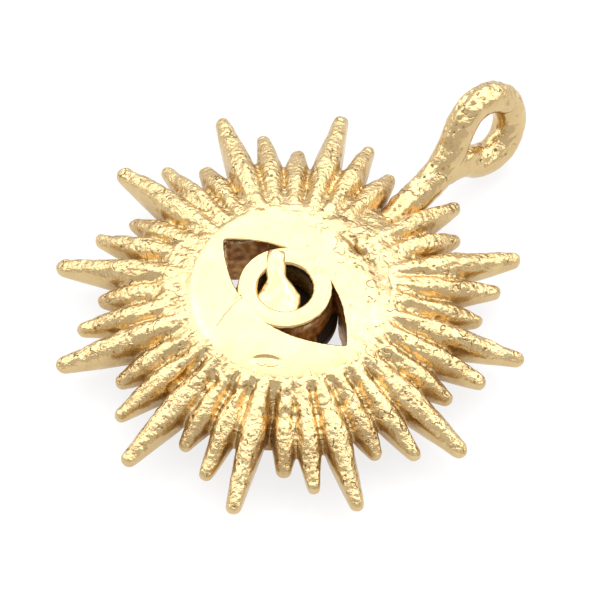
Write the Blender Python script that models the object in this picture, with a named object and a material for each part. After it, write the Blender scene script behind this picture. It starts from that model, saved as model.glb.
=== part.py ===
"""Sunburst eye charm: a small cast brass sun of round rays about an open eye, with a hanging loop.

Metres, +Z up. The charm lies on its back: +Z leaves its face, +Y runs out along the stem of its
loop, and X runs from corner to corner of the eye. The origin is in the middle of the bottom of the
whole charm's box. Run it with blender --background --python part.py.
"""

import math

import bmesh
import bpy
from mathutils import Matrix, Vector

# The one size that the rest follow: from the axis of the disc to the tip of a long ray.
SUN_RADIUS = 0.010

# Pieces that are soldered together keep this gap, so that each stays a solid of its own.
FIT_GAP = 0.00004

# Heights above the flat back.
RAY_HEIGHT = 0.13 * SUN_RADIUS
CROWN_HEIGHT = 0.32 * SUN_RADIUS
SHOULDER_HEIGHT = 0.27 * SUN_RADIUS
WEB_BACK_HEIGHT = 0.03 * SUN_RADIUS

# The ring of rays. Places are 10 degrees apart, and the stem takes the first of them.
PLACES = 36
PLACE_STEP = math.radians(10)
RING_BORE = 0.42 * SUN_RADIUS + FIT_GAP
WEB_RADIUS = 0.655 * SUN_RADIUS
RAY_ROOT_RADIUS = 0.40 * SUN_RADIUS
RAY_SIDES = 8
# Reach, half width of the shaft and of the tip, as shares of the sun's radius, and lean in degrees,
# clockwise from the stem.
RAY_KINDS = (
    (1.000, 0.060, 0.034, 0.3),
    (0.885, 0.054, 0.029, 0.5),
    (0.800, 0.054, 0.031, 0.8),
)
# The rays that stand furthest out of line, by place, and how much further each leans, in degrees.
ODD_LEANS = {3: -1.0, 14: 1.3, 18: 1.3, 24: 1.4, 27: -0.7}

# The crown: the raised middle, with the eye's almond cut through it. The two arcs of the almond
# spring from corners a little below the disc's axis, and the upper arc is the fuller one.
CROWN_RADIUS = 0.42 * SUN_RADIUS
PLATEAU_RADIUS = 0.35 * SUN_RADIUS
CROWN_SEGMENTS = 60
ALMOND_MIDDLE = Vector((-0.005, -0.022, 0.0)) * SUN_RADIUS
ALMOND_TURN = math.radians(-1.6)
ALMOND_HALF_LENGTH = 0.365 * SUN_RADIUS
ALMOND_UPPER_RISE = 0.185 * SUN_RADIUS
ALMOND_LOWER_RISE = 0.160 * SUN_RADIUS
ALMOND_STEPS = 10

# The iris ring and the dark disc behind it, which closes the pupil. They sit a little off the axis.
IRIS_MIDDLE = Vector((-0.022, -0.004, 0.0)) * SUN_RADIUS
IRIS_RADIUS = 0.198 * SUN_RADIUS
PUPIL_RADIUS = 0.1135 * SUN_RADIUS
IRIS_SEAT_HEIGHT = 0.16 * SUN_RADIUS
IRIS_SEGMENTS = 40
BACKING_RADIUS = 0.22 * SUN_RADIUS
BACKING_HEIGHT = 0.08 * SUN_RADIUS

# The bar across the pupil: x, y, height of its middle and half width, as shares of the sun's radius.
BAR_HALF_THICKNESS = 0.024 * SUN_RADIUS
BAR_SIDES = 10
BAR_STATIONS = (
    (-0.163, 0.106, 0.311, 0.036),
    (-0.124, 0.056, 0.311, 0.037),
    (-0.060, 0.012, 0.300, 0.034),
    (-0.020, -0.026, 0.288, 0.044),
    (0.004, -0.056, 0.280, 0.078),
    (0.018, -0.086, 0.280, 0.066),
)

# The hanging eye: a stem that climbs from the web to a round loop, twisted about the stem's axis.
WIRE_RADIUS = 0.070 * SUN_RADIUS
LOOP_RADIUS = 0.150 * SUN_RADIUS
LOOP_DISTANCE = 1.168 * SUN_RADIUS
LOOP_HEIGHT = 0.240 * SUN_RADIUS
LOOP_TWIST = math.radians(68.5)
STEM_ROOT_DISTANCE = 0.50 * SUN_RADIUS
STEM_ROOT_HEIGHT = 0.135 * SUN_RADIUS
WIRE_SIDES = 12
LOOP_SEGMENTS = 28

GOLD = (0.86, 0.66, 0.34, 1.0)
BLACK = (0.025, 0.018, 0.013, 1.0)


def clear_scene():
    for old in list(bpy.data.objects):
        bpy.data.objects.remove(old, do_unlink=True)


def stem_direction():
    """Unit vector along the stem, from the web out to the loop."""
    climb = Vector((0.0, LOOP_DISTANCE - STEM_ROOT_DISTANCE, LOOP_HEIGHT - STEM_ROOT_HEIGHT))
    return climb.normalized()


def loop_axis():
    """Unit vector along the axis of the loop's hole."""
    upright = Vector((1.0, 0.0, 0.0)).cross(stem_direction())
    return Matrix.Rotation(LOOP_TWIST, 3, stem_direction()) @ upright


def loop_reach():
    """How far the loop reaches along +Y from the disc's axis."""
    slant = math.sqrt(1.0 - loop_axis().y ** 2)
    return LOOP_DISTANCE + LOOP_RADIUS * slant + WIRE_RADIUS


def principled(name, colour, metallic, roughness):
    material = bpy.data.materials.new(name)
    material.use_nodes = True
    shader = material.node_tree.nodes["Principled BSDF"]
    shader.inputs["Base Color"].default_value = colour
    shader.inputs["Metallic"].default_value = metallic
    shader.inputs["Roughness"].default_value = roughness
    return material


def object_from(name, shape, material, parent):
    """An object whose mesh is the bmesh given, shaded smooth between its sharp edges."""
    mesh = bpy.data.meshes.new(name)
    bmesh.ops.recalc_face_normals(shape, faces=shape.faces)
    shape.to_mesh(mesh)
    shape.free()
    mesh.shade_smooth()
    mesh.set_sharp_from_angle(angle=math.radians(35))
    made = bpy.data.objects.new(name, mesh)
    bpy.context.scene.collection.objects.link(made)
    made.parent = parent
    if material is not None:
        mesh.materials.append(material)
    return made


def helper_from(name, shape, parent):
    """A cutter or a shape to join, which is not a piece of the charm."""
    made = object_from(name, shape, None, parent)
    made.hide_render = True
    made.display_type = "WIRE"
    return made


def add_boolean(target, other, operation, self_joined=False):
    modifier = target.modifiers.new(f"{operation.lower()}_{other.name}", "BOOLEAN")
    modifier.operation = operation
    modifier.solver = "EXACT"
    modifier.use_self = self_joined
    modifier.object = other


def bridge(shape, first, second):
    """Quads between two closed rings of vertices with as many vertices each."""
    count = len(first)
    for i in range(count):
        j = (i + 1) % count
        shape.faces.new((first[i], first[j], second[j], second[i]))


def turned(profile, segments):
    """A closed outline of (radius, height) points turned about Z. No point lies on the axis."""
    shape = bmesh.new()
    rings = []
    for i in range(segments):
        angle = math.tau * i / segments
        across, along = math.cos(angle), math.sin(angle)
        rings.append([shape.verts.new((r * across, r * along, z)) for r, z in profile])
    for i in range(segments):
        bridge(shape, rings[i], rings[(i + 1) % segments])
    return shape


def lofted(shape, stations, sides):
    """Adds a closed body through elliptical stations of (middle, half width, half height)."""
    rings = []
    for i, (middle, half_width, half_height) in enumerate(stations):
        before = stations[max(i - 1, 0)][0]
        after = stations[min(i + 1, len(stations) - 1)][0]
        along = (after - before).normalized()
        side = along.cross(Vector((0.0, 0.0, 1.0))).normalized()
        up = side.cross(along)
        ring = []
        for k in range(sides):
            angle = math.tau * (k + 0.5) / sides
            offset = side * (half_width * math.cos(angle)) + up * (half_height * math.sin(angle))
            ring.append(shape.verts.new(middle + offset))
        rings.append(ring)
    for first, second in zip(rings, rings[1:]):
        bridge(shape, first, second)
    shape.faces.new(rings[0])
    shape.faces.new(rings[-1])


def prism(outline, low, high):
    """A closed body from a flat outline of (x, y) points, between two heights."""
    shape = bmesh.new()
    floor = [shape.verts.new((x, y, low)) for x, y in outline]
    roof = [shape.verts.new((x, y, high)) for x, y in outline]
    bridge(shape, floor, roof)
    shape.faces.new(floor)
    shape.faces.new(roof)
    return shape


def ray_angle(place, lean):
    """Which way a ray points: rays bow apart on one side of the sun, and a few stand out of line."""
    angle = math.pi / 2 - place * PLACE_STEP
    bow = 0.6 * math.cos(angle - math.radians(66)) - 0.47 * math.sin(2 * angle)
    return angle + math.radians(lean + bow + ODD_LEANS.get(place, 0.0))


def add_ray(shape, place, reach, shaft, tip, lean):
    """One round finger: its root climbs to the crown's shoulder, and its tip is rounded."""
    angle = ray_angle(place, lean)
    outwards = Vector((math.cos(angle), math.sin(angle), 0.0))
    reach, shaft, tip = (share * SUN_RADIUS for share in (reach, shaft, tip))
    blunt = 0.3
    profile = (
        (RAY_ROOT_RADIUS, RAY_HEIGHT + 0.45 * (SHOULDER_HEIGHT - RAY_HEIGHT), 0.90 * shaft),
        (0.52 * SUN_RADIUS, RAY_HEIGHT + 0.02 * SUN_RADIUS, shaft),
        (0.68 * reach + 0.04 * SUN_RADIUS, RAY_HEIGHT, shaft),
        (reach - tip, RAY_HEIGHT, tip),
        (reach - blunt * tip, RAY_HEIGHT, 0.74 * tip),
        (reach, RAY_HEIGHT, 0.3 * tip),
    )
    stations = [(outwards * r + Vector((0.0, 0.0, z)), w, w) for r, z, w in profile]
    lofted(shape, stations, RAY_SIDES)


def rays():
    """The 35 rays: long, medium and short in turn, clockwise, with the stem's place left free."""
    shape = bmesh.new()
    for place in range(1, PLACES):
        add_ray(shape, place, *RAY_KINDS[place % len(RAY_KINDS)])
    return shape


def web():
    """The flat ring that the rays grow from, thickest at the crown."""
    edge_height = RAY_HEIGHT - 0.015 * SUN_RADIUS
    profile = (
        (RAY_ROOT_RADIUS, WEB_BACK_HEIGHT),
        (0.52 * SUN_RADIUS, WEB_BACK_HEIGHT),
        (WEB_RADIUS - 0.02 * SUN_RADIUS, edge_height - 0.03 * SUN_RADIUS),
        (WEB_RADIUS, edge_height),
        (WEB_RADIUS - 0.02 * SUN_RADIUS, edge_height + 0.03 * SUN_RADIUS),
        (0.52 * SUN_RADIUS, RAY_HEIGHT + 0.05 * SUN_RADIUS),
        (RAY_ROOT_RADIUS, SHOULDER_HEIGHT),
    )
    return turned(profile, PLACES)


def stem(radius):
    """The stem as a straight rod, from inside the web to the wire of the loop."""
    root = Vector((0.0, STEM_ROOT_DISTANCE, STEM_ROOT_HEIGHT))
    loop_middle = Vector((0.0, LOOP_DISTANCE, LOOP_HEIGHT))
    tip = loop_middle - stem_direction() * LOOP_RADIUS
    shape = bmesh.new()
    lofted(shape, [(root, radius, radius), (tip, radius, radius)], WIRE_SIDES)
    return shape


def make_ray_ring(gold, charm):
    ring = object_from("ray_ring", web(), gold, charm)
    add_boolean(ring, helper_from("all_rays", rays(), charm), "UNION", self_joined=True)
    past = 0.1 * SUN_RADIUS
    bore = [(RING_BORE, CROWN_HEIGHT + past), (RING_BORE, -past)]
    segments = range(CROWN_SEGMENTS)
    turn = math.tau / CROWN_SEGMENTS
    outline = [(RING_BORE * math.cos(i * turn), RING_BORE * math.sin(i * turn)) for i in segments]
    add_boolean(ring, helper_from("bore", prism(outline, bore[1][1], bore[0][1]), charm), "DIFFERENCE")
    groove = helper_from("stem_groove", stem(WIRE_RADIUS + FIT_GAP), charm)
    groove.location = stem_direction() * -FIT_GAP
    add_boolean(ring, groove, "DIFFERENCE")


def almond():
    """Outline of the eye's opening: an upper and a lower arc that meet in two corners."""
    across = Vector((math.cos(ALMOND_TURN), math.sin(ALMOND_TURN), 0.0)) * ALMOND_HALF_LENGTH
    upright = Vector((-math.sin(ALMOND_TURN), math.cos(ALMOND_TURN), 0.0))
    outline = []
    for rise, way in ((ALMOND_UPPER_RISE, 1.0), (-ALMOND_LOWER_RISE, -1.0)):
        for i in range(ALMOND_STEPS):
            share = way * (1.0 - 2.0 * i / ALMOND_STEPS)
            point = ALMOND_MIDDLE + across * share + upright * (rise * (1.0 - share**2))
            outline.append((point.x, point.y))
    return outline


def iris_disc(radius, low, high):
    """A round body about the iris ring's axis, between two heights."""
    shape = bmesh.new()
    bmesh.ops.create_cone(
        shape,
        cap_ends=True,
        segments=IRIS_SEGMENTS,
        radius1=radius,
        radius2=radius,
        depth=high - low,
        matrix=Matrix.Translation(IRIS_MIDDLE + Vector((0.0, 0.0, (low + high) / 2))),
    )
    return shape


def make_crown(gold, charm):
    core = 0.08 * SUN_RADIUS
    profile = (
        (core, 0.0),
        (CROWN_RADIUS, 0.0),
        (CROWN_RADIUS, SHOULDER_HEIGHT),
        (CROWN_RADIUS - 0.012 * SUN_RADIUS, CROWN_HEIGHT - 0.022 * SUN_RADIUS),
        (PLATEAU_RADIUS, CROWN_HEIGHT - 0.003 * SUN_RADIUS),
        (core, CROWN_HEIGHT),
    )
    crown = object_from("eye_crown", turned(profile, CROWN_SEGMENTS), gold, charm)
    past = 0.1 * SUN_RADIUS
    opening = prism(almond(), -past, CROWN_HEIGHT + past)
    iris_bore = iris_disc(IRIS_RADIUS + FIT_GAP, IRIS_SEAT_HEIGHT - past, CROWN_HEIGHT + past)
    back_bore = iris_disc(BACKING_RADIUS + FIT_GAP, -past, IRIS_SEAT_HEIGHT)
    for name, shape in (("almond", opening), ("iris_bore", iris_bore), ("back_bore", back_bore)):
        add_boolean(crown, helper_from(name, shape, charm), "DIFFERENCE")


def bar(gap):
    """The bar across the pupil, fattened by a gap where it serves as the cutter of its seats."""
    stations = []
    for x, y, height, half_width in BAR_STATIONS:
        middle = Vector((x, y, height)) * SUN_RADIUS
        stations.append((middle, half_width * SUN_RADIUS + gap, BAR_HALF_THICKNESS + gap))
    if gap > 0.0:
        first, last = stations[0][0], stations[-1][0]
        run = (last - first).normalized() * gap
        stations[0] = (first - 8 * run, *stations[0][1:])
        stations[-1] = (last + run, *stations[-1][1:])
    shape = bmesh.new()
    lofted(shape, stations, BAR_SIDES)
    return shape


def make_iris_ring(gold, charm):
    edge = 0.012 * SUN_RADIUS
    profile = (
        (PUPIL_RADIUS, IRIS_SEAT_HEIGHT),
        (IRIS_RADIUS, IRIS_SEAT_HEIGHT),
        (IRIS_RADIUS, CROWN_HEIGHT - edge),
        (IRIS_RADIUS - edge, CROWN_HEIGHT),
        (PUPIL_RADIUS + edge, CROWN_HEIGHT),
        (PUPIL_RADIUS, CROWN_HEIGHT - edge),
    )
    shape = turned(profile, IRIS_SEGMENTS)
    bmesh.ops.translate(shape, verts=shape.verts, vec=IRIS_MIDDLE)
    ring = object_from("iris_ring", shape, gold, charm)
    seats = helper_from("bar_seats", bar(FIT_GAP), charm)
    add_boolean(ring, seats, "DIFFERENCE")


def make_pupil_bar(gold, charm):
    object_from("pupil_bar", bar(0.0), gold, charm)


def make_pupil_backing(black, charm):
    disc = iris_disc(BACKING_RADIUS, BACKING_HEIGHT, IRIS_SEAT_HEIGHT - FIT_GAP)
    object_from("pupil_backing", disc, black, charm)


def make_hanging_eye(gold, charm):
    wire = []
    for i in range(WIRE_SIDES):
        angle = math.tau * i / WIRE_SIDES
        wire.append((LOOP_RADIUS + WIRE_RADIUS * math.cos(angle), WIRE_RADIUS * math.sin(angle)))
    shape = turned(wire, LOOP_SEGMENTS)
    upright = loop_axis().to_track_quat("Z", "Y").to_matrix().to_4x4()
    place = Matrix.Translation((0.0, LOOP_DISTANCE, LOOP_HEIGHT)) @ upright
    bmesh.ops.transform(shape, matrix=place, verts=shape.verts)
    eye = object_from("hanging_eye", shape, gold, charm)
    add_boolean(eye, helper_from("stem_rod", stem(WIRE_RADIUS), charm), "UNION")


def make_charm():
    clear_scene()
    charm = bpy.data.objects.new("charm", None)
    bpy.context.scene.collection.objects.link(charm)
    charm.location.y = (SUN_RADIUS - loop_reach()) / 2
    gold = principled("gold_plated_brass", GOLD, 1.0, 0.28)
    black = principled("black_backing", BLACK, 0.0, 0.5)
    make_ray_ring(gold, charm)
    make_crown(gold, charm)
    make_iris_ring(gold, charm)
    make_pupil_bar(gold, charm)
    make_pupil_backing(black, charm)
    make_hanging_eye(gold, charm)


make_charm()
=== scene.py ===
"""The looks of the sunburst eye charm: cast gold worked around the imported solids.

Shapes are worked out in shares of the sun's radius about the disc's axis, and placed by the frame.
"""

import math
import random

import bmesh
import bpy
import numpy as np
from mathutils import Matrix, Vector, noise


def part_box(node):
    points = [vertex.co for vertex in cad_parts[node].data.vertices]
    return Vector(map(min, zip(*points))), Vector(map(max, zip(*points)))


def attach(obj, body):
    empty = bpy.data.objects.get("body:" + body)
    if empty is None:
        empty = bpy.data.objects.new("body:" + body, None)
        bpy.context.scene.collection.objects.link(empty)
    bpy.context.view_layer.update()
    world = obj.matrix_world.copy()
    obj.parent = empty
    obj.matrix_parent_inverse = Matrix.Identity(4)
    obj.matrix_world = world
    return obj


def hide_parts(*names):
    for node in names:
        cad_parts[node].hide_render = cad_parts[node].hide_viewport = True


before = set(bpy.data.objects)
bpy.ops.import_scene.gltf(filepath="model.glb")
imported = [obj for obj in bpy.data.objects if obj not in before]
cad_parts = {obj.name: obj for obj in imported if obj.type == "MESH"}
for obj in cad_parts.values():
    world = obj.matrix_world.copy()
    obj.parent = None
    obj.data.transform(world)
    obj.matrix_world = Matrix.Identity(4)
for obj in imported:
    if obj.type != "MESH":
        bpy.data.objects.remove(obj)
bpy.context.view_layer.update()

# The crown's box gives the disc's axis and, through its share, the sun's radius.
CROWN_SHARE = 0.42
crown_low, crown_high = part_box("eye_crown")
SUN = (crown_high.x - crown_low.x) / 2 / CROWN_SHARE
AXIS = Vector(((crown_low.x + crown_high.x) / 2, (crown_low.y + crown_high.y) / 2, crown_low.z))
TO_FRAME = Matrix.Translation(AXIS) @ Matrix.Scale(SUN, 4)

# Lengths below are shares of the sun's radius, and turns run from +X towards +Y.

# The rays. Places are 10 degrees apart and run clockwise, from the stem of the hanging loop at +Y.
RAY_HEIGHT = 0.13
RAY_START = 0.36
TAPER_START = 0.66
PLACES = 36
RAY_STATIONS = 28
RAY_KINDS = (
    # reach, half width at the web, half width at the tip, lean in degrees, swell of the ridge
    (1.000, 0.062, 0.034, 0.3, 0.128),
    (0.885, 0.055, 0.029, 0.5, 0.134),
    (0.800, 0.054, 0.031, 0.8, 0.132),
)
# How much further single rays lean, in degrees, by place.
ODD_LEANS = {3: -1.0, 14: 1.3, 18: 1.3, 24: 1.4, 27: -0.7}

# The web between the rays. It lies lower, and is rougher, on the side at NEAR_TURN.
NEAR_TURN = math.radians(-46)
WEB_PROFILE = (
    # distance from the axis, height
    (0.38, 0.03),
    (0.52, 0.03),
    (0.62, 0.060),
    (0.652, 0.095),
    (0.645, 0.122),
    (0.625, 0.158),
    (0.60, 0.172),
    (0.56, 0.198),
    (0.52, 0.228),
    (0.48, 0.270),
    (0.44, 0.305),
    (0.38, 0.312),
)
# How much fuller the web is on the side away from NEAR_TURN.
WEB_RISE = 0.045
HOLLOW_HALF_WIDTH = 0.07
HOLLOW_HALF_LENGTH = 0.05
WEB_HOLLOWS = (
    # turn in degrees, distance from the axis, depth, which is negative for a fuller place
    (172, 0.49, 0.030),
    (128, 0.50, 0.025),
    (98, 0.50, 0.020),
    (198, 0.54, -0.026),
    (212, 0.54, -0.032),
    (226, 0.54, -0.034),
    (240, 0.54, -0.028),
)

# The crown, with the almond opening of the eye through it.
CROWN_HEIGHT = 0.32
CROWN_PROFILE = (
    # distance from the axis, height
    (0.05, 0.0),
    (0.410, 0.0),
    (0.415, 0.02),
    (0.425, 0.20),
    (0.445, 0.270),
    (0.442, 0.294),
    (0.430, 0.304),
    (0.410, 0.3115),
    (0.38, 0.3170),
    (0.34, 0.3195),
    (0.25, 0.320),
    (0.05, 0.320),
)
ALMOND_MIDDLE = Vector((-0.005, -0.022, 0.0))
ALMOND_TURN = math.radians(-1.6)
ALMOND_HALF_LENGTH = 0.365
ALMOND_UPPER_RISE = 0.185
ALMOND_LOWER_RISE = 0.160
ALMOND_STEPS = 24
# Marks on the crown: a seam, a lens-shaped dent and a groove in the rim.
SEAM = (Vector((-0.127, -0.164)), Vector((-0.126, -0.229)), Vector((-0.094, -0.334)))
SEAM_DEPTH = 0.0065
DENT_MIDDLE = Vector((0.175, -0.315, CROWN_HEIGHT))
DENT_TURN = math.radians(38)
DENT_ACROSS = Vector((math.cos(DENT_TURN), math.sin(DENT_TURN), 0.0))
DENT_UPRIGHT = Vector((-DENT_ACROSS.y, DENT_ACROSS.x, 0.0))
DENT_HALF_LENGTH = 0.08
DENT_HALF_WIDTH = 0.026
DENT_DEPTH = 0.010
WRINKLED_TURN = math.radians(74)
GROOVE_RADIUS = 0.362
GROOVE_HALF_WIDTH = 0.028
GROOVE_DEPTH = 0.024

# The iris ring, whose foot has one gap, the bar over the pupil and the disc that closes it.
IRIS_MIDDLE = Vector((-0.022, -0.004, 0.0))
IRIS_RADIUS = 0.198
PUPIL_RADIUS = 0.1135
SEAT_HEIGHT = 0.16
FOOT_HEIGHT = 0.06
FOOT_GAP_DEGREES = 14.0
BAR_HALF_THICKNESS = 0.026
BAR_STATIONS = (
    # x, y, height, half width
    (-0.170, 0.100, 0.306, 0.040),
    (-0.130, 0.052, 0.309, 0.045),
    (-0.082, 0.010, 0.300, 0.044),
    (-0.052, -0.014, 0.292, 0.072),
    (-0.026, -0.040, 0.288, 0.096),
    (0.002, -0.066, 0.286, 0.096),
    (0.028, -0.092, 0.286, 0.080),
    (0.044, -0.108, 0.286, 0.054),
)
BACKING_RADIUS = 0.22
BACKING_HEIGHT = 0.08

# The hanging loop. Two lengths of wire leave the stem and overlap near the loop's far end.
WIRE_RADIUS = 0.070
LOOP_RADIUS = 0.150
LOOP_MIDDLE = Vector((0.0, 1.168, 0.240))
STEM_LINE_ROOT = Vector((0.0, 0.50, 0.135))
LOOP_TWIST = math.radians(68.5)
# The front wire's bend from the stem into the loop: four control points, along the stem and across.
BEND = ((-0.34, 0.0), (-0.24, 0.0), (-0.135, -0.080), (-0.086, -0.123))

# Where the crown is worn smooth and where its wrinkled rim gets painted shade, and the colours, of which
# the browns and blacks are painted shade.
SMOOTH_SIDE = (-0.40, -0.92, 0.0)
WRINKLED_SHADED_SIDE = (math.cos(WRINKLED_TURN), math.sin(WRINKLED_TURN), 0.0)
GOLD_DEEP = (0.61, 0.440, 0.215, 1)
GOLD_PALE = (0.68, 0.510, 0.265, 1)
# Painted shade for the dark specks in pits and the lines in creases.
CREASE_SHADE_BROWN = (0.17, 0.105, 0.035, 1)
# Painted shade for the wrinkled stretch of the crown's rim.
RIM_SHADE_BROWN = (0.29, 0.210, 0.115, 1)
# Painted shade: browns for the low walls in the eye's opening and for the valleys between the rays.
WALL_SHADE_BROWNS = ((0.27, 0.115, 0.025, 1), (0.64, 0.34, 0.100, 1))
VALLEY_SHADE_BROWNS = ((0.32, 0.175, 0.065, 1), (0.48, 0.310, 0.130, 1))
# Painted shade: near-black for the backing disc inside the eye.
BACKING_SHADE_BLACKS = ((0.020, 0.013, 0.009, 1), (0.030, 0.021, 0.014, 1))


# ---- shapes -------------------------------------------------------------------------------------


def bridge(shape, first, second):
    """Adds quads between two closed rings of vertices."""
    count = len(first)
    for i in range(count):
        j = (i + 1) % count
        shape.faces.new((first[i], first[j], second[j], second[i]))


def close_body(shape, rings):
    """Adds the skin of a body through rings of vertices, with both ends closed."""
    for first, second in zip(rings, rings[1:]):
        bridge(shape, first, second)
    shape.faces.new(rings[0])
    shape.faces.new(rings[-1])


def direction_at(middles, i):
    """The way a path runs at its point i."""
    return (middles[min(i + 1, len(middles) - 1)] - middles[max(i - 1, 0)]).normalized()


def lofted(shape, stations, sides=16, flatness=1.0):
    """Adds a closed body through stations of (middle, half width, half height).

    A station is an ellipse at flatness 1.0, and squarer below that.
    """
    rings = []
    middles = [station[0] for station in stations]
    for i, (middle, half_width, half_height) in enumerate(stations):
        along = direction_at(middles, i)
        side = along.cross(Vector((0.0, 0.0, 1.0))).normalized()
        up = side.cross(along)
        ring = []
        for k in range(sides):
            angle = math.tau * (k + 0.5) / sides
            across, rise = math.cos(angle), math.sin(angle)
            across = math.copysign(abs(across) ** flatness, across)
            rise = math.copysign(abs(rise) ** flatness, rise)
            offset = side * (half_width * across) + up * (half_height * rise)
            ring.append(shape.verts.new(middle + offset))
        rings.append(ring)
    close_body(shape, rings)


def turned(shape, profile, segments=144):
    """Adds a closed outline of (radius, height) points turned about Z."""
    rings = []
    for i in range(segments):
        angle = math.tau * i / segments
        across, along = math.cos(angle), math.sin(angle)
        rings.append([shape.verts.new((r * across, r * along, z)) for r, z in profile])
    for i in range(segments):
        bridge(shape, rings[i], rings[(i + 1) % segments])


def prism(shape, outline, low, high):
    """Adds a flat outline of (x, y) points as a body between two heights."""
    close_body(shape, [[shape.verts.new((x, y, z)) for x, y in outline] for z in (low, high)])


def add_object(name, data):
    made = bpy.data.objects.new(name, data)
    bpy.context.scene.collection.objects.link(made)
    return made


def object_of(name, shape):
    bmesh.ops.recalc_face_normals(shape, faces=shape.faces)
    mesh = bpy.data.meshes.new(name)
    shape.to_mesh(mesh)
    shape.free()
    return add_object(name, mesh)


def settle(made):
    """Applies the object's modifiers to its mesh."""
    graph = bpy.context.evaluated_depsgraph_get()
    mesh = bpy.data.meshes.new_from_object(made.evaluated_get(graph))
    old = made.data
    made.modifiers.clear()
    made.data = mesh
    bpy.data.meshes.remove(old)


def cut(made, cutter_shape):
    """Takes a shape out of the object."""
    cutter = object_of("cutter", cutter_shape)
    modifier = made.modifiers.new("cut", "BOOLEAN")
    modifier.operation = "DIFFERENCE"
    modifier.solver = "EXACT"
    modifier.object = cutter
    settle(made)
    bpy.data.objects.remove(cutter, do_unlink=True)


def melt(made, voxel, passes):
    """Fuses the object's shapes into one skin and rounds its edges and creases, as a casting's are."""
    remesh = made.modifiers.new("fuse", "REMESH")
    remesh.mode = "VOXEL"
    remesh.voxel_size = voxel
    smooth = made.modifiers.new("round", "SMOOTH")
    smooth.factor = 0.5
    smooth.iterations = passes
    settle(made)


def move_points(made, rule):
    """Moves each point along its normal by rule(point, normal)."""
    mesh = made.data
    count = len(mesh.vertices)
    points = np.empty(count * 3, np.float32)
    normals = np.empty(count * 3, np.float32)
    mesh.vertices.foreach_get("co", points)
    mesh.vertex_normals.foreach_get("vector", normals)
    points, normals = points.reshape(-1, 3), normals.reshape(-1, 3)
    shift = np.array([rule(Vector(p), Vector(n)) for p, n in zip(points, normals)], np.float32)
    points = points + normals * shift[:, None]
    mesh.vertices.foreach_set("co", points.ravel())
    mesh.update()


def finish_piece(made, material, *nodes, slot):
    """Brings a piece to the frame's place and size, and hides the CAD nodes it replaces."""
    made.data.transform(TO_FRAME)
    made.data.shade_smooth()
    made.data.materials.clear()
    made.data.materials.append(material)
    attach(made, "root")
    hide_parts(*nodes)


# ---- materials ----------------------------------------------------------------------------------


def nodes_of(name):
    material = bpy.data.materials.new(name)
    material.use_nodes = True
    tree = material.node_tree
    return material, tree, tree.nodes["Principled BSDF"]


def add_noise(tree, where, scale, detail):
    texture = tree.nodes.new("ShaderNodeTexNoise")
    texture.inputs["Scale"].default_value = scale
    texture.inputs["Detail"].default_value = detail
    tree.links.new(where, texture.inputs["Vector"])
    return texture.outputs["Fac"]


def ramp(tree, value, low, high, from_low=0.3, from_high=0.7):
    """Low up to from_low, high past from_high, and a straight run between."""
    node = tree.nodes.new("ShaderNodeMapRange")
    node.inputs["From Min"].default_value = from_low
    node.inputs["From Max"].default_value = from_high
    node.inputs["To Min"].default_value = low
    node.inputs["To Max"].default_value = high
    tree.links.new(value, node.inputs["Value"])
    return node.outputs["Result"]


def colour_mix(tree, value, first, second):
    node = tree.nodes.new("ShaderNodeMix")
    node.data_type = "RGBA"
    for name, colour in (("A", first), ("B", second)):
        if isinstance(colour, tuple):
            node.inputs[name].default_value = colour
        else:
            tree.links.new(colour, node.inputs[name])
    tree.links.new(value, node.inputs["Factor"])
    return node.outputs["Result"]


def math_node(tree, operation, first, second=0.0):
    node = tree.nodes.new("ShaderNodeMath")
    node.operation = operation
    for socket, value in zip(node.inputs, (first, second)):
        if isinstance(value, float):
            socket.default_value = value
        else:
            tree.links.new(value, socket)
    return node.outputs[0]


def product(tree, first, *others):
    for other in others:
        first = math_node(tree, "MULTIPLY", first, other)
    return first


def add_creases(tree, where, size):
    """Thin wobbly lines in broken stretches: 1 in a line and 0 beside it."""
    field = add_noise(tree, where, 1.0 / size, 2.0)
    nearness = math_node(tree, "ABSOLUTE", math_node(tree, "SUBTRACT", field, 0.5))
    line = ramp(tree, nearness, 1.0, 0.0, 0.004, 0.018)
    stretches = ramp(tree, add_noise(tree, where, 1.3 / size, 1.0), 0.0, 1.0, 0.52, 0.58)
    return product(tree, line, stretches)


def sun_position(tree, where):
    """Distance from the axis and height, as shares of the sun's radius."""
    moved = tree.nodes.new("ShaderNodeMapping")
    moved.inputs["Location"].default_value = -AXIS / SUN
    moved.inputs["Scale"].default_value = (1 / SUN, 1 / SUN, 1 / SUN)
    tree.links.new(where, moved.inputs["Vector"])
    parts = tree.nodes.new("ShaderNodeSeparateXYZ")
    tree.links.new(moved.outputs["Vector"], parts.inputs[0])
    lengths = [math_node(tree, "ABSOLUTE", parts.outputs[axis]) for axis in ("X", "Y")]
    squares = [math_node(tree, "POWER", length, 2.0) for length in lengths]
    distance = math_node(tree, "POWER", math_node(tree, "ADD", *squares), 0.5)
    return distance, parts.outputs["Z"]


def reach_along(tree, where, direction):
    """How far a point lies from the world's origin along a direction, in metres."""
    spread = tree.nodes.new("ShaderNodeVectorMath")
    spread.operation = "DOT_PRODUCT"
    spread.inputs[1].default_value = direction
    tree.links.new(where, spread.inputs[0])
    return spread.outputs["Value"]


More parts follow.
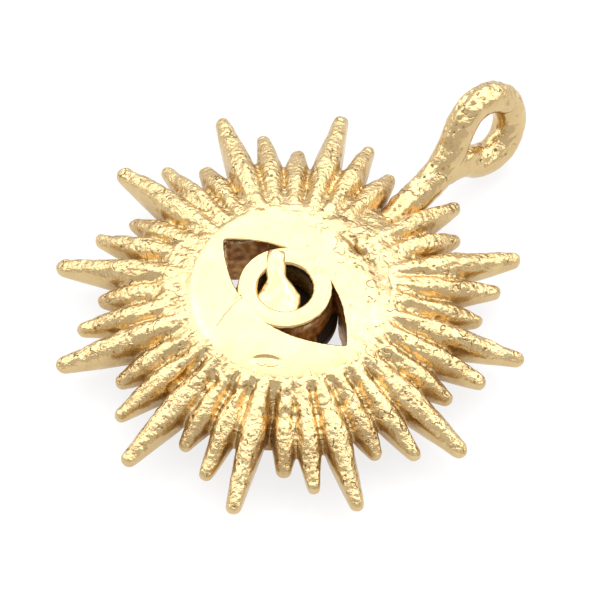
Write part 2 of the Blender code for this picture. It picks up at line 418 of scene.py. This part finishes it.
def gold(name, grain, pitting, roughness, creasing, smooth_side=None):
    """Gold plate over cast brass: pitted where it faces up, with dark brown painted into its pits and
    creases as shade, and painted shade in its recesses.

    grain is the size of the pits in metres, and creasing that of the crease pattern as a share of
    the sun's radius. smooth_side is a direction in which the gold is worn smooth. That gold gets
    painted shade in the eye's opening and on its rim at the wrinkled side. The rest gets painted
    shade in the valleys between the rays.
    """
    material, tree, shader = nodes_of(name)
    where = tree.nodes.new("ShaderNodeTexCoord").outputs["Object"]
    patches = add_noise(tree, where, 0.2 / grain, 3.0)
    fine = add_noise(tree, where, 1.0 / grain, 3.0)
    distance, height = sun_position(tree, where)
    facing = tree.nodes.new("ShaderNodeSeparateXYZ")
    tree.links.new(tree.nodes.new("ShaderNodeNewGeometry").outputs["Normal"], facing.inputs[0])
    upward = ramp(tree, facing.outputs["Z"], 0.12, 1.0, 0.25, 0.75)
    if smooth_side:
        worn = ramp(tree, reach_along(tree, where, smooth_side), 1.0, 0.04, -0.12 * SUN, 0.16 * SUN)
        upward = product(tree, upward, worn)
        above_back = ramp(tree, facing.outputs["Z"], 0.0, 1.0, -0.7, -0.4)
        # Painted shade on the crown's low walls in the eye's opening, where they don't face down.
        shaded_recess = product(tree, ramp(tree, height, 1.0, 0.0, 0.25, 0.30), above_back)
        shade_browns, dullness = WALL_SHADE_BROWNS, 0.35
    else:
        past_crown = ramp(tree, distance, 0.0, 1.0, 0.46, 0.56)
        before_tips = ramp(tree, distance, 1.0, 0.0, 0.68, 0.82)
        # Painted shade in the valleys between the rays, below their ridges.
        shaded_recess = product(tree, ramp(tree, height, 1.0, 0.0, 0.14, 0.24), past_crown, before_tips)
        upward = product(tree, upward, ramp(tree, distance, 0.7, 1.0, 0.48, 0.68))
        shade_browns, dullness = VALLEY_SHADE_BROWNS, 0.2

    cells = tree.nodes.new("ShaderNodeTexVoronoi")
    cells.inputs["Scale"].default_value = 0.60 / grain
    tree.links.new(where, cells.inputs["Vector"])
    specks = product(
        tree,
        ramp(tree, cells.outputs["Distance"], 1.0, 0.0, 0.14, 0.34),
        ramp(tree, add_noise(tree, where, 0.35 / grain, 2.0), 0.0, 1.0, 0.47, 0.60),
    )
    crease = math_node(tree, "MAXIMUM", add_creases(tree, where, creasing * SUN), specks)
    crease = product(tree, crease, upward)

    tint = colour_mix(tree, ramp(tree, patches, 0.0, 1.0), GOLD_DEEP, GOLD_PALE)
    streaks = ramp(tree, add_noise(tree, where, 0.6 / grain, 4.0), 0.0, 1.0, 0.35, 0.65)
    # The recesses get painted shade in streaky browns.
    tint = colour_mix(tree, shaded_recess, tint, colour_mix(tree, streaks, *shade_browns))
    # Painted shade in wrinkled patches on the crown's rim at the wrinkled side.
    if smooth_side:
        axis_reach = AXIS.dot(Vector(WRINKLED_SHADED_SIDE))
        start, full = axis_reach + 0.285 * SUN, axis_reach + 0.35 * SUN
        rim = ramp(tree, reach_along(tree, where, WRINKLED_SHADED_SIDE), 0.0, 1.0, start, full)
        shade_wrinkles = ramp(tree, add_noise(tree, where, 0.45 / grain, 5.0), 0.1, 1.0, 0.40, 0.58)
        tint = colour_mix(tree, product(tree, rim, shade_wrinkles), tint, RIM_SHADE_BROWN)
    # Painted shade: the specks and crease lines on what faces up are coloured dark brown.
    tint = colour_mix(tree, product(tree, crease, 0.85), tint, CREASE_SHADE_BROWN)
    tree.links.new(tint, shader.inputs["Base Color"])
    shader.inputs["Specular IOR Level"].default_value = 0.2
    tree.links.new(ramp(tree, shaded_recess, 1.0, 1.0 - dullness, 0.0, 1.0), shader.inputs["Metallic"])
    rough = math_node(tree, "ADD", ramp(tree, fine, *roughness), product(tree, shaded_recess, 0.2))
    tree.links.new(rough, shader.inputs["Roughness"])

    relief = math_node(tree, "ADD", fine, product(tree, cells.outputs["Distance"], 0.5))
    relief = math_node(tree, "SUBTRACT", relief, product(tree, crease, 0.5))
    bump = tree.nodes.new("ShaderNodeBump")
    bump.inputs["Distance"].default_value = grain * 0.50
    tree.links.new(product(tree, upward, pitting), bump.inputs["Strength"])
    tree.links.new(relief, bump.inputs["Height"])
    tree.links.new(bump.outputs["Normal"], shader.inputs["Normal"])
    return material


# Painted shade: a near-black material for the backing disc, where the inside of the eye is dark.
def black_backing():
    material, tree, shader = nodes_of("black_backing")
    where = tree.nodes.new("ShaderNodeTexCoord").outputs["Object"]
    speck = add_noise(tree, where, 3000.0, 3.0)
    tint = colour_mix(tree, ramp(tree, speck, 0.0, 1.0), *BACKING_SHADE_BLACKS)
    tree.links.new(tint, shader.inputs["Base Color"])
    tree.links.new(ramp(tree, speck, 0.55, 0.75), shader.inputs["Roughness"])
    shader.inputs["Specular IOR Level"].default_value = 0.2
    return material


# ---- pieces -------------------------------------------------------------------------------------


def ray_angle(place, lean):
    """Which way a ray points: rays bow apart on one side of the sun, and a few stand out of line."""
    angle = math.pi / 2 - math.tau * place / PLACES
    bow = 0.6 * math.cos(angle - math.radians(66)) - 0.47 * math.sin(2 * angle)
    return angle + math.radians(lean + bow + ODD_LEANS.get(place, 0.0))


def ray_width(r, reach, shaft, tip):
    """Half width of a ray at distance r from the axis: widest at the web, with a round tip."""
    taper = min(max((r - TAPER_START) / (reach - tip - TAPER_START), 0.0), 1.0)
    width = shaft + (tip - shaft) * taper**1.15
    ahead = (reach - r) / tip
    if ahead < 1.0:
        width *= math.sqrt(max(1.0 - (1.0 - ahead) ** 2, 0.0))
    return max(width, 0.2 * tip)


def ease(value, low, high):
    """0 below low, 1 above high, and a smooth step between."""
    share = min(max((value - low) / (high - low), 0.0), 1.0)
    return share * share * (3.0 - 2.0 * share)


def add_ray(shape, place, chance):
    """One finger: round outside the web, and taller towards the crown, which its ridge runs into."""
    reach, shaft, tip, lean, swell = RAY_KINDS[place % len(RAY_KINDS)]
    shaft *= chance.uniform(0.97, 1.04)
    tip *= chance.uniform(0.94, 1.06)
    angle = ray_angle(place, lean)
    outwards = Vector((math.cos(angle), math.sin(angle), 0.0))
    stations = []
    for i in range(RAY_STATIONS):
        share = i / (RAY_STATIONS - 1)
        r = RAY_START + (reach - RAY_START) * (1 - (1 - share) ** 1.5)
        rise = swell * min((reach - r) / (reach - 0.45), 1.0) ** 1.05
        width = ray_width(r, reach, shaft, tip) * (0.80 + 0.20 * ease(r, 0.46, TAPER_START))
        middle = outwards * r + Vector((0.0, 0.0, RAY_HEIGHT + rise / 2))
        stations.append((middle, width, width + rise / 2))
    lofted(shape, stations, flatness=0.80)


def ray_skin(point, normal):
    """Hammered grain, strongest on what faces up, and small hollows at the roots at NEAR_TURN."""
    r = math.hypot(point.x, point.y)
    turn = math.atan2(point.y, point.x)
    grain = noise.noise(Vector((r * 13, turn * 24, point.z * 22)))
    pits = noise.noise(point * 34)
    facets = noise.noise(Vector((r * 5, turn * 16 + 7.3, point.z * 12)))
    top = min(max((normal.z + 0.1) / 0.6, 0.0), 1.0)
    root = ease(r, 0.45, 0.49) * (1.0 - ease(r, 0.55, 0.64)) * ease(math.cos(turn - NEAR_TURN), 0.2, 0.8)
    hole = ease(noise.noise(Vector((r * 15 + 3.7, turn * 9, 2.0))), 0.10, 0.45)
    worn = (0.0008 + 0.0042 * top) * grain + (0.0004 + 0.0026 * top) * pits
    return 0.0050 * facets + worn - 0.012 * root * hole


def make_ray_ring(material):
    """The rays, and the web that falls away to them from the crown, lower on one side."""
    shape = bmesh.new()
    turned(shape, WEB_PROFILE)
    for point in shape.verts:
        r = math.hypot(point.co.x, point.co.y)
        if point.co.z > RAY_HEIGHT and r > 0.41:
            turn = math.atan2(point.co.y, point.co.x)
            openness = 0.5 + 0.5 * math.cos(turn - NEAR_TURN)
            for hollow_turn, hollow_r, depth in WEB_HOLLOWS:
                aside = abs(math.remainder(turn - math.radians(hollow_turn), math.tau)) * r
                across, along = aside / HOLLOW_HALF_WIDTH, (r - hollow_r) / HOLLOW_HALF_LENGTH
                point.co.z -= depth * math.exp(-(across**2) - along**2)
            between = ease(r, 0.45, 0.52) * (1.0 - ease(r, 0.55, 0.64))
            point.co.z += WEB_RISE * (1.0 - openness**2) * between
    chance = random.Random(7)
    for place in range(1, PLACES):
        add_ray(shape, place, chance)
    ring = object_of("cast_ray_ring", shape)
    melt(ring, voxel=0.0080, passes=4)
    move_points(ring, ray_skin)
    finish_piece(ring, material, "ray_ring", slot="gold_rays")


def almond():
    """Outline of the eye's opening: an upper and a lower arc that meet in two corners."""
    across = Vector((math.cos(ALMOND_TURN), math.sin(ALMOND_TURN), 0.0)) * ALMOND_HALF_LENGTH
    upright = Vector((-math.sin(ALMOND_TURN), math.cos(ALMOND_TURN), 0.0))
    outline = []
    for rise, way in ((ALMOND_UPPER_RISE, 1.0), (-ALMOND_LOWER_RISE, -1.0)):
        for i in range(ALMOND_STEPS):
            share = way * (1.0 - 2.0 * i / ALMOND_STEPS)
            point = ALMOND_MIDDLE + across * share + upright * (rise * (1.0 - share**2))
            outline.append((point.x, point.y))
    return outline


def iris_disc(shape, radius, low, high):
    """Adds a round body about the iris ring's axis, between two heights."""
    bmesh.ops.create_cone(
        shape,
        cap_ends=True,
        segments=96,
        radius1=radius,
        radius2=radius,
        depth=high - low,
        matrix=Matrix.Translation(IRIS_MIDDLE + Vector((0, 0, (low + high) / 2))),
    )


def eyelid_dent(point):
    """A shallow lens pressed into the crown below the eye, sharpest along its inner edge."""
    across = (point - DENT_MIDDLE).dot(DENT_ACROSS)
    inwards = (point - DENT_MIDDLE).dot(DENT_UPRIGHT)
    if abs(across) >= DENT_HALF_LENGTH:
        return 0.0
    arch = DENT_HALF_WIDTH * (1.0 - (across / DENT_HALF_LENGTH) ** 2)
    past_outer = ease(inwards, -arch - 0.006, -arch + 0.010)
    past_inner = ease(inwards, arch - 0.004, arch + 0.004)
    return DENT_DEPTH * past_outer * (1.0 - past_inner) * arch / DENT_HALF_WIDTH


def seam_depth(point):
    """A wobbly seam pressed into the crown beside the eye's near corner."""
    depth = 0.0
    flat = Vector((point.x, point.y))
    for start, end in zip(SEAM, SEAM[1:]):
        along = end - start
        share = min(max((flat - start).dot(along) / along.length_squared, 0.0), 1.0)
        wobble = Vector((-along.y, along.x)).normalized() * (0.012 * noise.noise(point * 16))
        aside = (flat - start - along * share + wobble).length
        depth = max(depth, SEAM_DEPTH * (1.0 - ease(aside, 0.002, 0.010)))
    return depth


def crown_skin(point, normal):
    """Almost smooth on one side, and wrinkled on the other, in the walls and on one stretch of rim."""
    r = math.hypot(point.x, point.y)
    turn = math.atan2(point.y, point.x)
    wrinkled = ease(r, 0.22, 0.40) * ease(math.cos(turn - math.radians(85)), -0.3, 0.7)
    wall = 1.0 - ease(normal.z, 0.2, 0.7)
    rough = max(wrinkled, wall)
    swell = noise.noise(point * 5)
    dent = eyelid_dent(point) + seam_depth(point) if normal.z > 0.7 else 0.0
    rim = ease(math.cos(turn - WRINKLED_TURN), 0.82, 0.98)
    if normal.z > 0.4:
        groove = rim * math.exp(-(((r - GROOVE_RADIUS) / GROOVE_HALF_WIDTH) ** 2))
        dent += GROOVE_DEPTH * groove * (0.6 + noise.noise(point * 14))
    creases = abs(noise.noise(Vector((r * 26, turn * 7, 1.0)))) + abs(noise.noise(point * 15))
    grain = noise.noise(point * 28)
    folds = 0.0040 * rough + 0.0060 * rim * ease(r, 0.28, 0.34)
    return 0.0012 * swell + folds * (0.3 - creases) + (0.0003 + 0.0022 * rough) * grain - dent


def make_crown(material):
    """The raised middle, with the eye's opening through it and the backing's bore in its back."""
    shape = bmesh.new()
    turned(shape, CROWN_PROFILE)
    crown = object_of("cast_eye_crown", shape)
    past = 0.1
    opening = bmesh.new()
    prism(opening, almond(), -past, CROWN_HEIGHT + past)
    cut(crown, opening)
    bore = bmesh.new()
    iris_disc(bore, BACKING_RADIUS + 0.002, -past, SEAT_HEIGHT)
    cut(crown, bore)
    melt(crown, voxel=0.0066, passes=3)
    move_points(crown, crown_skin)
    finish_piece(crown, material, "eye_crown", slot="gold_crown")


def make_iris_ring(material):
    """The ring's foot spreads over the backing's rim, but for one gap."""
    shape = bmesh.new()
    turned(
        shape,
        (
            (PUPIL_RADIUS, SEAT_HEIGHT),
            (IRIS_RADIUS - 0.01, SEAT_HEIGHT),
            (IRIS_RADIUS - 0.01, SEAT_HEIGHT - 0.045),
            (BACKING_RADIUS + 0.006, SEAT_HEIGHT - 0.045),
            (BACKING_RADIUS + 0.003, SEAT_HEIGHT + 0.01),
            (IRIS_RADIUS + 0.008, SEAT_HEIGHT + 0.04),
            (IRIS_RADIUS, SEAT_HEIGHT + 0.08),
            (IRIS_RADIUS, CROWN_HEIGHT - 0.006),
            (IRIS_RADIUS - 0.006, CROWN_HEIGHT - 0.001),
            (0.155, CROWN_HEIGHT + 0.0015),
            (PUPIL_RADIUS + 0.01, CROWN_HEIGHT),
            (PUPIL_RADIUS, CROWN_HEIGHT - 0.01),
        ),
    )
    for point in shape.verts:
        r = math.hypot(point.co.x, point.co.y)
        turn = math.degrees(math.atan2(point.co.y, point.co.x))
        bare = 1.0 - ease(abs(turn - FOOT_GAP_DEGREES), 18.0, 24.0)
        if point.co.z < SEAT_HEIGHT + FOOT_HEIGHT:
            shrink = 1.0 + bare * (min(IRIS_RADIUS / r, 1.0) - 1.0)
            point.co.x *= shrink
            point.co.y *= shrink
            point.co.z = max(point.co.z, SEAT_HEIGHT * bare)
    bmesh.ops.translate(shape, verts=shape.verts, vec=IRIS_MIDDLE)
    ring = object_of("cast_iris_ring", shape)
    melt(ring, voxel=0.0055, passes=2)
    move_points(ring, crown_skin)
    finish_piece(ring, material, "iris_ring", slot="gold_crown")


def make_pupil_bar(material):
    """A bar that starts on the ring's far edge and widens over the pupil."""
    shape = bmesh.new()
    lofted(shape, [(Vector((x, y, z)), width, BAR_HALF_THICKNESS) for x, y, z, width in BAR_STATIONS])
    bar = object_of("cast_pupil_bar", shape)
    melt(bar, voxel=0.005, passes=4)
    move_points(bar, lambda point, normal: 0.004 * noise.noise(point * 26))
    finish_piece(bar, material, "pupil_bar", slot="gold_crown")


def make_backing(material):
    """A thin disc under the iris ring, with softened edges, coloured near-black as painted shade for the
    dark inside of the eye.
    """
    shape = bmesh.new()
    iris_disc(shape, BACKING_RADIUS, BACKING_HEIGHT, SEAT_HEIGHT)
    bmesh.ops.bevel(shape, geom=list(shape.edges), offset=0.006, segments=3, affect="EDGES")
    disc = object_of("pupil_disc", shape)
    finish_piece(disc, material, "pupil_backing", slot="black_backing")


def stem_direction():
    return (LOOP_MIDDLE - STEM_LINE_ROOT).normalized()


def tube(shape, path, radius, sides=24):
    """Adds a round wire along a path, with rounded ends."""
    ends = []
    for tip, inner in ((path[0], path[1]), (path[-1], path[-2])):
        out = (tip - inner).normalized()
        ends.append([(tip + out * radius * h, radius * math.sqrt(1.0 - h * h)) for h in (0.5, 0.8, 0.96)])
    stations = ends[0][::-1] + [(point, radius) for point in path] + ends[1]
    middles = [station[0] for station in stations]
    turns = [math.tau * k / sides for k in range(sides)]
    normal = None
    rings = []
    for i, (middle, size) in enumerate(stations):
        along = direction_at(middles, i)
        normal = along.orthogonal() if normal is None else normal - along * normal.dot(along)
        normal.normalize()
        across = along.cross(normal)
        offsets = [(normal * math.cos(turn) + across * math.sin(turn)) * size for turn in turns]
        rings.append([shape.verts.new(middle + offset) for offset in offsets])
    close_body(shape, rings)


def wire_skin(point, normal):
    """Hammered dents along the wire, deepest on the side that faces up."""
    top = 0.35 + 0.65 * ease(normal.z, 0.0, 0.6)
    long_dents = noise.noise(Vector((point.x * 34, point.y * 9, point.z * 20)))
    return top * (0.0070 * long_dents + 0.0040 * noise.noise(point * 17) + 0.0035 * noise.noise(point * 36))


def bezier(controls, t):
    """The point at t from 0 to 1 on a cubic curve."""
    weights = ((1 - t) ** 3, 3 * t * (1 - t) ** 2, 3 * t * t * (1 - t), t**3)
    return [sum(w * point[axis] for w, point in zip(weights, controls)) for axis in (0, 1)]


def make_hanging_eye(material):
    """The front wire runs up the stem and bends into one side of the loop.

    The back wire starts where the stem meets the loop and comes round the other side, past the
    loop's far end. The two are melted together where they overlap.
    """
    along = stem_direction()
    upright = Vector((1.0, 0.0, 0.0)).cross(along)
    axis = Matrix.Rotation(LOOP_TWIST, 3, along) @ upright
    side = along.cross(axis)

    def at(forward, sideways, lift):
        return LOOP_MIDDLE + along * forward + side * sideways + axis * lift

    def arc(start, end, steps, low, high):
        """Points on the loop between two angles in degrees, with the lift changing from low to high."""
        points = []
        for i in range(steps + 1):
            turn = math.radians(start + (end - start) * i / steps)
            lift = low + (high - low) * i / steps
            points.append(at(0.004 + LOOP_RADIUS * math.cos(turn), LOOP_RADIUS * math.sin(turn), lift))
        return points

    root = (STEM_LINE_ROOT - LOOP_MIDDLE).dot(along) - 0.05
    bend_start = BEND[0][0]
    front = [at(root + (bend_start - root) * i / 10, 0.0, 0.0) for i in range(10)]
    front += [at(*bezier(BEND, i / 8), 0.008 * i / 8) for i in range(8)]
    front += arc(-125, -30, 22, 0.008, 0.018)
    back = [at(-0.25, 0.0, -0.004), at(-0.20, 0.02, -0.008)]
    back += arc(158, -14, 44, -0.010, -0.016)
    shape = bmesh.new()
    tube(shape, front, WIRE_RADIUS * 0.95)
    tube(shape, back, WIRE_RADIUS)
    eye = object_of("cast_hanging_eye", shape)
    melt(eye, voxel=0.006, passes=3)
    move_points(eye, wire_skin)
    finish_piece(eye, material, "hanging_eye", slot="gold_wire")


# ---- stage --------------------------------------------------------------------------------------

# The camera. The frame's width and the target's place are shares of the sun's radius.
AZIMUTH, ELEVATION = math.radians(44.0), math.radians(57.7)
FRAME_WIDTH = 2.491
TARGET_RIGHT, TARGET_UP = 0.044, 0.0573
CAMERA_DISTANCE = 0.5

# The floor, in metres, and the room's glow, with a gap round the zenith.
FLOOR_HALF = 0.6
FLOOR_DROP = 0.00002
FLOOR_GLOW = 0.78
ROOM_GLOW, GAP_GLOW = 0.80, 0.08
GAP_RIM, GAP_CORE = math.cos(math.radians(29)), math.cos(math.radians(25))
PANELS = (
    # name, azimuth, elevation, distance, width, height, radiance
    ("far_panel", 0, 64, 0.30, 0.30, 0.50, 2.3),
    ("left_panel", -68, 42, 0.30, 0.22, 0.24, 1.8),
    ("right_panel", 66, 44, 0.30, 0.27, 0.24, 2.0),
)


def camera_axes():
    """The camera's right, backward and up directions."""
    right = Vector((math.cos(AZIMUTH), math.sin(AZIMUTH), 0.0))
    away = Vector((-math.sin(AZIMUTH), math.cos(AZIMUTH), 0.0))
    back = -away * math.cos(ELEVATION) + Vector((0, 0, math.sin(ELEVATION)))
    return right, back, back.cross(right)


def make_camera():
    right, back, up = camera_axes()
    target = AXIS + Vector((0, 0, RAY_HEIGHT * SUN)) + (right * TARGET_RIGHT + up * TARGET_UP) * SUN
    data = bpy.data.cameras.new("camera")
    data.sensor_width = 36.0
    data.lens = data.sensor_width * CAMERA_DISTANCE / (FRAME_WIDTH * SUN)
    data.clip_start = 0.01
    data.clip_end = 10.0
    camera = add_object("camera", data)
    turn = Matrix((right, up, back)).transposed().to_4x4()
    camera.matrix_world = Matrix.Translation(target + back * CAMERA_DISTANCE) @ turn
    bpy.context.scene.camera = camera


def make_floor():
    """A pale table, lit a little from within so that shadows on it stay faint."""
    mesh = bpy.data.meshes.new("floor")
    corners = ((-1, -1), (1, -1), (1, 1), (-1, 1))
    low = AXIS.z - FLOOR_DROP
    mesh.from_pydata([(x * FLOOR_HALF, y * FLOOR_HALF, low) for x, y in corners], [], [(0, 1, 2, 3)])
    floor = add_object("floor", mesh)
    material, _, shader = nodes_of("pale_floor")
    shader.inputs["Base Color"].default_value = (0.20, 0.20, 0.20, 1)
    shader.inputs["Roughness"].default_value = 0.9
    shader.inputs["Specular IOR Level"].default_value = 0.0
    shader.inputs["Emission Color"].default_value = (1, 1, 1, 1)
    shader.inputs["Emission Strength"].default_value = FLOOR_GLOW
    mesh.materials.append(material)


def make_panel(name, azimuth, elevation, distance, width, height, radiance):
    """A soft light panel that faces the charm. azimuth 0 is away from the camera, 90 is to its right."""
    turn = AZIMUTH - math.radians(azimuth)
    rise = math.radians(elevation)
    flat = Vector((-math.sin(turn), math.cos(turn), 0.0))
    outwards = flat * math.cos(rise) + Vector((0, 0, math.sin(rise)))
    data = bpy.data.lights.new(name, "AREA")
    data.shape = "RECTANGLE"
    data.size, data.size_y = width, height
    data.energy = radiance * math.pi * width * height
    light = add_object(name, data)
    light.location = AXIS + outwards * distance
    light.rotation_euler = outwards.to_track_quat("Z", "Y").to_euler()


def make_world():
    """An even white room with a dark gap in its ceiling."""
    world = bpy.data.worlds.new("studio")
    world.use_nodes = True
    tree = world.node_tree
    background = tree.nodes["Background"]
    background.inputs["Color"].default_value = (1, 1, 1, 1)
    where = tree.nodes.new("ShaderNodeTexCoord").outputs["Generated"]
    split = tree.nodes.new("ShaderNodeSeparateXYZ")
    tree.links.new(where, split.inputs[0])
    strength = ramp(tree, split.outputs["Z"], ROOM_GLOW, GAP_GLOW, GAP_RIM, GAP_CORE)
    tree.links.new(strength, background.inputs["Strength"])
    bpy.context.scene.world = world


def main():
    make_camera()
    # name, grain, pitting, roughness, creasing
    rays_gold = gold("cast_gold_rays", 0.00015, 0.95, (0.12, 0.28), 0.085)
    crown_gold = gold("smooth_gold_crown", 0.00018, 0.5, (0.18, 0.30), 0.085, SMOOTH_SIDE)
    wire_gold = gold("polished_gold_wire", 0.00018, 0.6, (0.12, 0.24), 0.11)
    make_ray_ring(rays_gold)
    make_crown(crown_gold)
    make_iris_ring(crown_gold)
    make_pupil_bar(crown_gold)
    make_backing(black_backing())
    make_hanging_eye(wire_gold)
    make_floor()
    for panel in PANELS:
        make_panel(*panel)
    make_world()
    bpy.context.scene.view_settings.view_transform = "Standard"


main()
